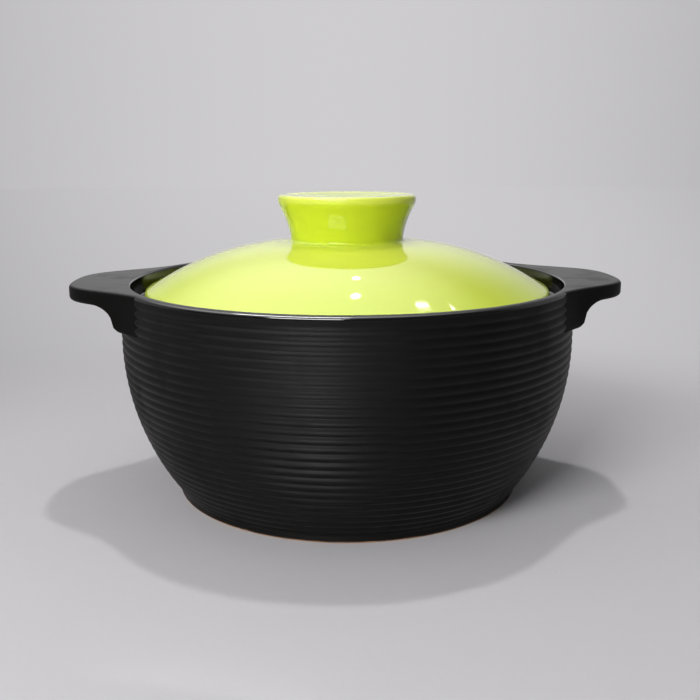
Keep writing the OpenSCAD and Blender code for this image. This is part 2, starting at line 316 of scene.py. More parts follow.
@dataclass
class Effects:
    """Surface effects that several finishes share, each a node group with its own values in each finish."""

    ripple: Cloud = Cloud(16 * MM, 1.0)
    pool: Cloud = Cloud(5 * MM, 1.0)
    pool_share: float = 0.25
    grain: Cloud = Cloud(0.55 * MM, 3.0, 0.7)
    # One speck at most lies in a cell, and its edge fades between two shares of the cell
    speck_cell: float = 1.6 * MM
    speck_edge_shares: Point = (0.05, 0.22)
    blotch: Cloud = Cloud(30 * MM)
    mottle: Cloud = Cloud(3 * MM, 4.0, 0.6)
    mottle_share: float = 0.35
    smudge: Cloud = Cloud(22 * MM, 3.0, 0.6)
    smudge_edge_shares: Point = (0.48, 0.7)
    waver: Cloud = Cloud(9 * MM, 3.0, 0.6)
    sand: Cloud = Cloud(0.5 * MM, 4.0, 0.7)
    sand_height_mm: float = 0.12
    sand_tint: Colour = (0.75, 0.6, 0.45, 1.0)
    sand_share: float = 0.35
    toast: Cloud = Cloud(14 * MM, 3.0, 0.6)
    toast_edge_shares: Point = (0.4, 0.75)
    grog: Cloud = Cloud(0.9 * MM, 1.0)
    grog_edge_shares: Point = (0.66, 0.74)
    grog_share: float = 0.7
    glaze_skin: bpy.types.NodeTree = field(init=False)
    turned_band: bpy.types.NodeTree = field(init=False)
    clay_body: bpy.types.NodeTree = field(init=False)

    def __post_init__(self) -> None:
        """Builds the groups once."""
        place, value, colour = {"Position": "NodeSocketVector"}, "NodeSocketFloat", "NodeSocketColor"
        limits = ("Inner", "Outer", "Low", "High", "Softness", "Waver")
        self.glaze_skin = group(
            "glaze_skin", place | dict.fromkeys(("Ripple", "Grain", "Specks"), value),
            dict.fromkeys(("Height", "Tone", "Speck", "Smudge"), value), self._wire_glaze_skin)
        self.turned_band = group(
            "turned_band", place | dict.fromkeys(limits, value), {"Mask": value}, self._wire_turned_band)
        self.clay_body = group(
            "clay_body", place | dict.fromkeys(("Colour", "Toast"), colour),
            {"Colour": colour, "Height": value}, self._wire_clay_body)

    def _wire_glaze_skin(self, w: Wiring, given: Outputs) -> dict[str, Socket]:
        """Wires how a fired glaze lies: slow ripples, fine grain, stray specks and hand smudges.

        Args:
            w: Wiring of the group.
            given: Position in metres, height of ripples and of grain in millimetres, share of specks.

        Returns:
            Height in millimetres, and tone, speck and smudge masks from 0 to 1.
        """
        at = given["Position"]
        slow = w.math("MULTIPLY_ADD", w.swing(at, self.pool), self.pool_share, w.swing(at, self.ripple))
        grain = w.times(w.swing(at, self.grain), given["Grain"])
        height = w.math("MULTIPLY_ADD", slow, given["Ripple"], grain)
        cells = w.node("ShaderNodeTexVoronoi", {"Vector": at, "Scale": 1 / self.speck_cell}).outputs
        chance = w.node("ShaderNodeSeparateColor", {0: cells["Color"]}).outputs[0]
        near = w.minus(1.0, w.step(cells["Distance"], *self.speck_edge_shares))
        speck = w.times(near, w.math("LESS_THAN", chance, given["Specks"]))
        blotches = w.times(w.cloud(at, self.blotch), 1 - self.mottle_share)
        tone = w.math("MULTIPLY_ADD", w.cloud(at, self.mottle), self.mottle_share, blotches)
        smudge = w.step(w.cloud(at, self.smudge), *self.smudge_edge_shares)
        return {"Height": height, "Tone": tone, "Speck": speck, "Smudge": smudge}

    def _wire_turned_band(self, w: Wiring, given: Outputs) -> dict[str, Socket]:
        """Wires a mask for a band that goes round a turned piece, between two radii and two heights.

        Args:
            w: Wiring of the group.
            given: Position, inner and outer radius, low and high edge, and the edges' softness and waver, all
                in metres.

        Returns:
            The mask.
        """
        parts = w.node("ShaderNodeSeparateXYZ", {0: given["Position"]}).outputs
        radius = w.vector("LENGTH", w.node("ShaderNodeCombineXYZ", {0: parts[0], 1: parts[1]}).outputs[0])
        sway = w.times(w.swing(given["Position"], self.waver), given["Waver"])
        radius, height = w.plus(radius, sway), w.plus(parts[2], sway)
        mask: Any = 1.0
        for value, edge, rises in ((radius, "Inner", True), (radius, "Outer", False), (height, "Low", True),
                                   (height, "High", False)):
            soft, limit = given["Softness"], given[edge]
            side = w.step(value, w.minus(limit, soft), w.plus(limit, soft))
            mask = w.times(mask, side if rises else w.minus(1.0, side))
        return {"Mask": mask}

    def _wire_clay_body(self, w: Wiring, given: Outputs) -> dict[str, Socket]:
        """Wires bare fired clay: sandy grain, toasted patches and dark grog.

        Args:
            w: Wiring of the group.
            given: Position, colour of the clay and of its toasted patches.

        Returns:
            Colour, and height in millimetres.
        """
        at = given["Position"]
        sand = w.cloud(at, self.sand)
        toast = w.step(w.cloud(at, self.toast), *self.toast_edge_shares)
        grog = w.step(w.cloud(at, self.grog), *self.grog_edge_shares)
        colour = w.tint(toast, given["Colour"], given["Toast"])
        colour = w.tint(w.times(grog, self.grog_share), colour, given["Toast"])
        colour = w.tint(w.scale(sand, 0.0, self.sand_share), colour, self.sand_tint)
        return {"Colour": colour, "Height": w.times(sand, self.sand_height_mm)}


@dataclass(frozen=True)
class Edge:
    """How a finish ends at the limits of a band: softness and waver in metres, and its share within."""

    soft: float
    waver: float
    share: float = 1.0


@dataclass(frozen=True)
class BareClay:
    """Unglazed brown clay, as on the foot and where lid and pot touch in the kiln."""

    colour: Colour = (0.36, 0.17, 0.075, 1.0)
    toast: Colour = (0.16, 0.065, 0.03, 1.0)
    roughness: float = 0.82


@dataclass(frozen=True)
class Band:
    """A band round a turned piece, between two radii and two heights in metres, or open to a side."""

    inner: float = -FAR
    outer: float = FAR
    low: float = -FAR
    high: float = FAR
    # Softness of the band's own edges, where it is more than that of its finish
    soft: float = 0.0

    def mask(self, effects: Effects, w: Wiring, at: Any, edge: Edge) -> Socket:
        """Places this band in a material.

        Args:
            effects: The shared surface effects.
            w: Wiring of the material.
            at: Position on the piece.
            edge: How the finish ends at the band's limits.

        Returns:
            The mask.
        """
        return w.place(effects.turned_band, {
            "Position": at, "Inner": self.inner, "Outer": self.outer, "Low": self.low, "High": self.high,
            "Softness": max(edge.soft, self.soft), "Waver": edge.waver})["Mask"]


@dataclass(frozen=True)
class Glaze:
    """A fired glaze over the clay.

    It is thick where it pools and thin on edges, and its thin colour also serves as painted light on tops.
    It is wiped off where the ware stands in the kiln.
    """

    name: str
    body: Colour
    deep: Colour
    thin: Colour
    roughness: float
    ripple: float
    grain: float
    specks: float
    speck: Colour
    sheen: float = 0.5
    clay: BareClay = BareClay()
    pooled: Edge = Edge(1.2 * MM, 0.8 * MM, 0.75)
    thinned_and_lit: Edge = Edge(0.5 * MM, 0.5 * MM, 0.8)
    wiped: Edge = Edge(0.15 * MM, 0.9 * MM)
    # Roughness where a hand has smudged the glaze, against the rest
    smudge_share: float = 1.25
    ior: float = 1.5

    def build(self, effects: Effects, label: str, bare: Iterable[Band] = (), pools: Iterable[Band] = (),
              edges: Iterable[Band] = ()) -> bpy.types.Material:
        """Builds the material of one piece.

        Args:
            effects: The shared surface effects.
            label: Name of the piece, for the material's name.
            bare: Bands that are wiped clean of glaze.
            pools: Bands where the glaze runs thick.
            edges: Bands painted in its thin colour: thin glaze over an edge, and painted light on tops such
                as the crown.

        Returns:
            The material.
        """
        material = bpy.data.materials.new(f"{self.name}_{label}")
        material.use_nodes = True
        w = Wiring(material.node_tree)
        shader = material.node_tree.nodes["Principled BSDF"]
        at = w.node("ShaderNodeTexCoord").outputs["Object"]
        skin = w.place(effects.glaze_skin, {
            "Position": at, "Ripple": self.ripple, "Grain": self.grain, "Specks": self.specks})

        colour = w.tint(skin["Tone"], self.deep, self.body)
        colour = w.tint(self._any(effects, w, at, pools, self.pooled), colour, self.deep)
        # The thin colour is thin glaze on edges, and painted light on tops such as the crown and the knob's
        # lip
        colour = w.tint(self._any(effects, w, at, edges, self.thinned_and_lit), colour, self.thin)
        colour = w.tint(skin["Speck"], colour, self.speck)
        rough = w.mix(skin["Smudge"], self.roughness, self.roughness * self.smudge_share)

        wiped = self._any(effects, w, at, bare, self.wiped)
        clay = w.place(effects.clay_body, {
            "Position": at, "Colour": self.clay.colour, "Toast": self.clay.toast})
        colour = w.tint(wiped, colour, clay["Colour"])
        rough = w.mix(wiped, rough, self.clay.roughness)
        height = w.mix(wiped, skin["Height"], clay["Height"])
        bump = w.node("ShaderNodeBump", {"Strength": 1.0, "Distance": MM, "Height": height})
        w.feed(shader.inputs["Base Color"], colour)
        w.feed(shader.inputs["Roughness"], rough)
        w.feed(shader.inputs["Normal"], bump.outputs[0])
        shader.inputs["IOR"].default_value = self.ior
        shader.inputs["Specular IOR Level"].default_value = self.sheen
        return material

    @staticmethod
    def _any(effects: Effects, w: Wiring, at: Any, bands: Iterable[Band], edge: Edge) -> Socket:
        """Joins the masks of some bands.

        Args:
            effects: The shared surface effects.
            w: Wiring of the material.
            at: Position on the piece.
            bands: The bands, if there are any.
            edge: How the finish ends at their limits.

        Returns:
            One mask for all of them.
        """
        mask: Any = 0.0
        for band in bands:
            mask = w.math("MAXIMUM", mask, band.mask(effects, w, at, edge))
        return w.times(mask, edge.share)


@dataclass(frozen=True)
class Finishes:
    """The glazes of the casserole."""

    effects: Effects
    satin_black: Glaze = Glaze(
        name="satin_black_glaze", body=(0.0028, 0.0026, 0.0023, 1.0), deep=(0.0019, 0.0017, 0.0015, 1.0),
        thin=(0.0046, 0.0041, 0.0036, 1.0), roughness=0.48, ripple=0.006, grain=0.012, specks=0.05,
        speck=(0.010, 0.009, 0.009, 1.0), sheen=0.155)
    smooth_black: Glaze = replace(
        satin_black, name="smooth_black_glaze", roughness=0.38, grain=0.045, sheen=0.18)
    deep_black: Glaze = replace(satin_black, name="deep_black_glaze", roughness=0.50, sheen=0.08)
    glossy_black: Glaze = Glaze(
        name="glossy_black_glaze", body=(0.0045, 0.0043, 0.0042, 1.0), deep=(0.0035, 0.0033, 0.0032, 1.0),
        thin=(0.0080, 0.0072, 0.0066, 1.0), roughness=0.09, ripple=0.010, grain=0.002, specks=0.02,
        speck=(0.012, 0.011, 0.010, 1.0), sheen=0.9)
    lime: Glaze = Glaze(
        name="lime_glaze", body=(0.625, 0.725, 0.038, 1.0), deep=(0.55, 0.69, 0.024, 1.0),
        thin=(0.74, 0.83, 0.10, 1.0), roughness=0.045, ripple=0.010, grain=0.0004, specks=0.012,
        speck=(0.45, 0.60, 0.02, 1.0))


@dataclass(frozen=True)
class Wall:
    """Outer wall of the bowl: two arcs that meet at the belly, with ribs between a plain band and the foot.

    The wall is followed by its length, which is zero at the belly and grows upwards.
    """

    belly_r: float = 110 * MM
    belly_h: float = 76 * MM
    rim_h: float = 103.3 * MM
    lower_arc_r: float = 120 * MM
    upper_arc_r: float = 410 * MM
    thickness: float = 6.5 * MM
    rib_pitch: float = 3.9 * MM
    rib_depth: float = 0.6 * MM
    band_h: float = 5.8 * MM
    foot_h: float = 3 * MM
    # How much of a rib's width the glaze fills in at the bottom of its groove
    groove_fill_share: float = 0.14

    def point(self, length: float, inset: float = 0.0) -> Point:
        """Gives a point of the wall.

        Args:
            length: Length along the wall, from the belly.
            inset: Distance by which the point is set in from the outside.

        Returns:
            Radius and height of the point.
        """
        radius = self.lower_arc_r if length < 0 else self.upper_arc_r
        angle = length / radius
        return (self.belly_r - radius + (radius - inset) * math.cos(angle),
                self.belly_h + (radius - inset) * math.sin(angle))

    def length(self, height: float) -> float:
        """Gives the wall's length at a height."""
        radius = self.lower_arc_r if height < self.belly_h else self.upper_arc_r
        return radius * math.asin((height - self.belly_h) / radius)

    def radius(self, height: float) -> float:
        """Gives the crests' radius at a height."""
        return self.point(self.length(height))[0]

    @property
    def ribbed_top(self) -> float:
        """Length at the highest crest."""
        return self.length(self.rim_h - self.band_h) + self.rib_pitch / 2

    @property
    def groove_count(self) -> int:
        """Number of grooves down to the foot."""
        first = self.length(self.rim_h - self.band_h)
        return math.floor((first - self.length(self.foot_h)) / self.rib_pitch + 0.5)

    def ribs(self, steps: int) -> list[Point]:
        """Gives the ribbed outline from the lowest crest to the highest.

        Args:
            steps: Points of one rib.

        Returns:
            The outline's points.
        """
        fill = self.groove_fill_share
        span = math.hypot(1, fill) - fill
        points = []
        for i in range(self.groove_count * steps, -1, -1):
            crest_share = (math.hypot(math.cos(math.pi * i / steps), fill) - fill) / span
            length = self.ribbed_top - i * self.rib_pitch / steps
            points.append(self.point(length, self.rib_depth * (1 - crest_share)))
        return points


@dataclass(frozen=True)
class Bowl:
    """The ribbed bowl, with its lip, the lid's seat and its inside."""

    wall: Wall
    lip: float = 4.3 * MM
    lip_outer_edge: float = 1.8 * MM
    lip_inner_edge: float = 1.3 * MM
    seat_depth: float = 9.4 * MM
    lip_draft: float = 0.8 * MM
    seat_w: float = 9 * MM
    seat_t: float = 3.6 * MM
    seat_slope_h: float = 9 * MM
    seat_edge: float = 1 * MM
    seat_corner: float = 0.8 * MM
    floor_t: float = 8 * MM
    floor_fillet: float = 14 * MM
    # The lid's edge covers this much of the seat
    bearing_w: float = 2.6 * MM
    bearing_wipe_h: float = 0.5 * MM
    foot_wipe_w: float = 0.5 * MM
    foot_wipe_h: float = 0.4 * MM
    glaze_margin: float = 1 * MM
    # Faces of the lip that look up more than this, of 1, are its top
    lip_top_normal: float = 0.85
    rib_steps: int = 8
    edge_steps: int = 10
    band_shares: tuple[float, ...] = (0.25, 0.5, 0.75, 1.0)

    @property
    def lip_centre(self) -> Point:
        """Centre of the lip's outer edge."""
        height = self.wall.rim_h - self.lip_outer_edge
        return self.wall.radius(height) - self.lip_outer_edge, height

    @property
    def mouth_r(self) -> float:
        """Inner radius of the lip at the rim."""
        return self.wall.radius(self.wall.rim_h) - self.lip

    @property
    def seat_h(self) -> float:
        """Height of the ledge that carries the lid."""
        return self.wall.rim_h - self.seat_depth

    @property
    def seat_outer_r(self) -> float:
        """Radius at the ledge's outer corner."""
        return self.mouth_r - self.lip_draft

    def outside(self) -> list[Point]:
        """Gives the outline from the lowest rib up to the top of the lip.

        Returns:
            The outline's points.
        """
        wall = self.wall
        top = wall.length(self.lip_centre[1])
        band = [wall.point(wall.ribbed_top + (top - wall.ribbed_top) * share) for share in self.band_shares]
        edge = arc(self.lip_centre, self.lip_outer_edge, 0, 90, self.edge_steps)[1:]
        return wall.ribs(self.rib_steps) + band + edge

    def inside(self) -> list[Point]:
        """Gives the outline from the top of the lip down to the middle of the floor.

        Returns:
            The outline's points.
        """
        wall, steps = self.wall, self.edge_steps
        seat, seat_r = self.seat_h, self.seat_outer_r - self.seat_w
        rounding, bend, nose = self.lip_inner_edge, self.seat_corner, self.seat_edge
        lip = arc((self.mouth_r + rounding, wall.rim_h - rounding), rounding, 90, 180, steps)
        corner = arc((self.seat_outer_r - bend, seat + bend), bend, 0, -90, steps // 2)
        edge = arc((seat_r + nose, seat - nose), nose, 90, 180, steps // 2)
        slope_top = seat - self.seat_t
        arc_r = wall.lower_arc_r - wall.thickness
        fillet_h = wall.foot_h + self.floor_t + self.floor_fillet
        angle = math.asin((wall.belly_h - fillet_h) / (arc_r - self.floor_fillet))
        fillet_r = wall.belly_r - wall.lower_arc_r + (arc_r - self.floor_fillet) * math.cos(angle)
        start, end = wall.length(slope_top - self.seat_slope_h), -wall.lower_arc_r * angle
        chords = 4 * steps
        side = [wall.point(start + (end - start) * i / chords, wall.thickness) for i in range(chords)]
        floor = arc((fillet_r, fillet_h), self.floor_fillet, -math.degrees(angle), -90, steps)
        floor += [(0.0, wall.foot_h + self.floor_t)]
        return lip + corner + edge + [(seat_r, slope_top)] + side + floor

    def build(self, bench: Bench) -> bpy.types.Object:
        """Turns the bowl.

        Args:
            bench: The bench that it is made on.

        Returns:
            The bowl, riding on the pot.
        """
        foot = [(0.0, self.wall.foot_h), (self.wall.radius(self.wall.foot_h), self.wall.foot_h)]
        piece = bench.turn("ribbed_bowl", foot + self.outside() + self.inside())
        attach(piece, Body.POT.value)
        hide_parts("bowl")
        return piece

    def dress(self, piece: bpy.types.Object, finishes: Finishes) -> None:
        """Glazes the bowl, satin outside, smooth on the lip and glossy inside, and wipes foot and seat clean.

        Args:
            piece: The turned bowl.
            finishes: The glazes.
        """
        wall, margin, effects = self.wall, self.glaze_margin, finishes.effects
        underside = Band(outer=wall.radius(wall.foot_h) - self.foot_wipe_w,
                         high=wall.foot_h + self.foot_wipe_h)
        seat_r = self.seat_outer_r - self.seat_w
        bearing = Band(seat_r + margin, seat_r + self.bearing_w, self.seat_h - margin,
                       self.seat_h + self.bearing_wipe_h)
        piece.data.materials.append(finishes.satin_black.build(effects, "bowl", bare=(underside,)))
        piece.data.materials.append(finishes.glossy_black.build(effects, "bowl_inside", bare=(bearing,)))
        piece.data.materials.append(finishes.smooth_black.build(effects, "bowl_lip"))
        for face in piece.data.polygons:
            radius, height = math.hypot(face.center.x, face.center.y), face.center.z
            inside = radius < wall.radius(height) - wall.thickness / 2 and height > wall.foot_h + margin
            lip = height > wall.rim_h - self.lip_outer_edge
            face.material_index = 2 if lip and face.normal.z > self.lip_top_normal else int(inside or lip)


@dataclass(frozen=True)
class FootRing:
    """The ring under the bowl. The glaze stops just short of the table."""

    wall: Wall
    width: float = 9 * MM
    bevel: float = 0.7 * MM
    bevel_steps: int = 5
    glaze_end_h: float = 0.7 * MM

    def build(self, bench: Bench) -> bpy.types.Object:
        """Turns the foot ring.

        Args:
            bench: The bench that it is made on.

        Returns:
            The foot ring, riding on the pot.
        """
        outer = self.wall.radius(self.wall.foot_h)
        inner, top = outer - self.width, self.wall.foot_h
        outline = [(inner, top), (inner, self.bevel)]
        outline += arc((inner + self.bevel, self.bevel), self.bevel, 180, 270, self.bevel_steps)[1:]
        outline += arc((outer - self.bevel, self.bevel), self.bevel, 270, 360, self.bevel_steps)
        outline += [(outer, top), (inner, top)]
        piece = bench.turn("turned_foot_ring", outline)
        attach(piece, Body.POT.value)
        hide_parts("foot_ring")
        return piece

    def dress(self, piece: bpy.types.Object, finishes: Finishes) -> None:
        """Leaves the ring bare, but for the glaze that runs down its outer side.

        Args:
            piece: The turned ring.
            finishes: The glazes.
        """
        outer = self.wall.radius(self.wall.foot_h)
        bare = (Band(outer=outer - self.bevel), Band(high=self.glaze_end_h))
        piece.data.materials.append(finishes.satin_black.build(finishes.effects, "foot_ring", bare=bare))


@dataclass(frozen=True)
class Handle:
    """A flat lug, flush with the rim, hollowed underneath, whose root runs out on the ribs."""

    bowl: Bowl
    reach: float = 25 * MM
    half_angle: float = 18.6
    squareness: float = 3.9
    root_angle: float = 29.0
    grip: float = 7.2 * MM
    hollow: float = 9 * MM
    toe_w: float = 4.4 * MM
    toe_r: float = 2.2 * MM
    lower_edge: float = 1.8 * MM
    feather: float = 0.25 * MM
    # Past the root the skin dives under the ribs, so that they come out of it one by one
    skin_angle: float = 33.0
    # The root sinks into the wall behind its visible outline
    sink: float = 2.2 * MM
    lip_sink: float = 1.0 * MM
    sections: int = 84
    under_steps: int = 36
    edge_steps: int = 10
    side_steps: int = 5
    sharp_angle: float = 40.0

    @property
    def root(self) -> Point:
        """Radius and height of the root's lower end on the wall."""
        height = self.bowl.wall.rim_h - self.grip - self.hollow - self.toe_r
        return self.bowl.wall.radius(height) - self.bowl.wall.rib_depth, height

    def _bell(self, angle: float) -> float:
        """Gives the square-shouldered bell that the outline follows, at degrees from the handle's middle."""
        return 1 / (1 + (abs(angle) / self.half_angle) ** self.squareness)

    def side(self, angle: float, height: float) -> float:
        """Gives the outline's radius.

        Args:
            angle: Degrees from the middle of the handle.
            height: Height above the table.

        Returns:
            The radius there.
        """
        end = self._bell(self.root_angle)
        share = (self._bell(angle) - end) / (1 - end)
        wall = self.bowl.wall.radius(height) + self.feather
        tip = self.bowl.wall.radius(self.bowl.wall.rim_h) + self.reach
        return wall + (tip - wall) * share

    def _slant(self, angle: float) -> float:
        """Gives how much longer a rounded edge is along the radius where the outline runs aslant.

        Args:
            angle: Degrees from the middle of the handle.

        Returns:
            The factor, 1 in the middle.
        """
        turn, rim = 0.5, self.bowl.wall.rim_h
        rise = (self.side(angle + turn, rim) - self.side(angle - turn, rim)) / math.radians(2 * turn)
        return math.hypot(1, rise / self.side(angle, rim))

    def _under(self, travel: float) -> Point:
        """Gives a point of the underside, which leads from the root over a flat toe, a round and a hollow.

        Args:
            travel: Length along the underside, from the root.

        Returns:
            Distance out from the root and height above it.
        """
        flat = self.toe_w - self.toe_r
        quarter = math.pi / 2
        if travel < flat:
            return travel, 0.0
        travel -= flat
        if travel < self.toe_r * quarter:
            angle = travel / self.toe_r
            return flat + self.toe_r * math.sin(angle), self.toe_r * (1 - math.cos(angle))
        travel -= self.toe_r * quarter
        if travel < self.hollow * quarter:
            angle = travel / self.hollow
            out = self.toe_w + self.hollow * (1 - math.cos(angle))
            return out, self.toe_r + self.hollow * math.sin(angle)
        return self.toe_w + self.hollow + travel - self.hollow * quarter, self.toe_r + self.hollow

    def _under_travel(self, reach: float) -> float:
        """Gives how long the underside is, up to a distance out from the root.

        Args:
            reach: The distance out from the root.

        Returns:
            The travel along the underside.
        """
        flat, quarter = self.toe_w - self.toe_r, math.pi / 2
        if reach < flat:
            return reach
        if reach < self.toe_w:
            return flat + self.toe_r * math.asin((reach - flat) / self.toe_r)
        travel = flat + self.toe_r * quarter
        if reach < self.toe_w + self.hollow:
            return travel + self.hollow * math.acos(1 - (reach - self.toe_w) / self.hollow)
        return travel + self.hollow * quarter + reach - self.toe_w - self.hollow

    def section(self, angle: float) -> list[Point]:
        """Gives the upright section of the handle at an angle from its middle.

        Args:
            angle: Degrees from the middle.

        Returns:
            Points from the top edge round the underside to the wall and up to the lip again.
        """
        rim, stretch = self.bowl.wall.rim_h, self._slant(angle)
        root_r, root_h = self.root
        lip_r, lip_h = self.bowl.lip_centre
        upper = self.bowl.lip_outer_edge
        reach = max(self.side(angle, root_h) - root_r, 2 * self.feather)
        lower = min(self.lower_edge * stretch, reach / 2)
        lower_h = lower / stretch
        travel = self._under_travel(reach - lower)
        side_low = root_h + self._under(travel)[1] + lower_h
        points = []
        for i in range(self.edge_steps, -1, -1):
            turn = math.radians(90 * i / self.edge_steps)
            points.append((self.side(angle, lip_h) - upper * stretch * (1 - math.cos(turn)),
                           lip_h + upper * math.sin(turn)))
        for i in range(1, self.side_steps):
            height = lip_h + (side_low - lip_h) * i / self.side_steps
            points.append((self.side(angle, height), height))
        for i in range(self.edge_steps + 1):
            turn = math.radians(90 * i / self.edge_steps)
            points.append((self.side(angle, side_low) - lower * (1 - math.cos(turn)),
                           side_low - lower_h * math.sin(turn)))
        for i in range(self.under_steps - 1, 0, -1):
            out, up = self._under(travel * i / self.under_steps)
            points.append((root_r + out, root_h + up))
        points.append((root_r - self.sink, root_h))
        points.append((lip_r - self.lip_sink, lip_h))
        points.append((lip_r, rim))
        return points

    def build(self, bench: Bench, name: str, node: str, side: Side) -> bpy.types.Object:
        """Sweeps the middle section round the wall, then draws each section in to the handle's outline.

        Args:
            bench: The bench that it is made on.
            name: Name of the piece.
            node: The CAD node that it stands for.
            side: Direction that the handle points in.

        Returns:
            The handle, riding on the pot.
        """
        middle = self.section(0.0)
        bench.clear()
        bpy.ops.mesh.primitive_circle_add(vertices=len(middle), radius=self.grip, fill_type="NOTHING")
        piece = bpy.context.object
        piece.name = piece.data.name = name
        corner = piece.data.attributes.new("corner", "INT", "POINT")
        corner.data.foreach_set("value", range(len(middle)))
        start = Matrix.Rotation(math.radians(side.value - self.skin_angle), 3, "Z")
        for vertex, (radius, height) in zip(piece.data.vertices, middle):
            vertex.co = start @ Vector((radius, 0, height))
        bench.open(piece)
        bpy.ops.mesh.select_all(action="SELECT")
        bpy.ops.mesh.spin(steps=self.sections, angle=-math.radians(2 * self.skin_angle), center=(0, 0, 0),
                          axis=(0, 0, 1), use_auto_merge=False)
        bpy.ops.object.mode_set(mode="OBJECT")
        self._draw_in(piece, side)
        bench.open(piece)
        bench.close(piece)
        bench.smooth(piece, self.sharp_angle)
        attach(piece, Body.POT.value)
        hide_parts(node)
        return piece

    def _draw_in(self, piece: bpy.types.Object, side: Side) -> None:
        """Moves the points of each swept section to the handle's outline there.

        Args:
            piece: The swept handle.
            side: Direction that the handle points in.
        """
        corners = piece.data.attributes["corner"].data
        step = 2 * self.skin_angle / self.sections
        known: dict[int, list[Point]] = {}
        for vertex in piece.data.vertices:
            azimuth = math.degrees(math.atan2(vertex.co.y, vertex.co.x)) - side.value
            azimuth = (azimuth + FULL_TURN / 2) % FULL_TURN - FULL_TURN / 2
            index = round((azimuth + self.skin_angle) / step)
            angle = -self.skin_angle + index * step
            if index not in known:
                known[index] = self.section(angle)
            radius, height = known[index][corners[vertex.index].value]
            turn = Matrix.Rotation(math.radians(side.value + angle), 3, "Z")
            vertex.co = turn @ Vector((radius, 0, height))

    def dress(self, piece: bpy.types.Object, finishes: Finishes) -> None:
        """Glazes a handle, smooth on its top and deep black on its sides and underneath.

        Args:
            piece: The handle.
            finishes: The glazes.
        """
        piece.data.materials.append(finishes.deep_black.build(finishes.effects, piece.name))
        piece.data.materials.append(finishes.smooth_black.build(finishes.effects, f"{piece.name}_top"))
        for face in piece.data.polygons:
            face.material_index = int(face.center.z > self.bowl.wall.rim_h - self.bowl.lip_outer_edge / 3)


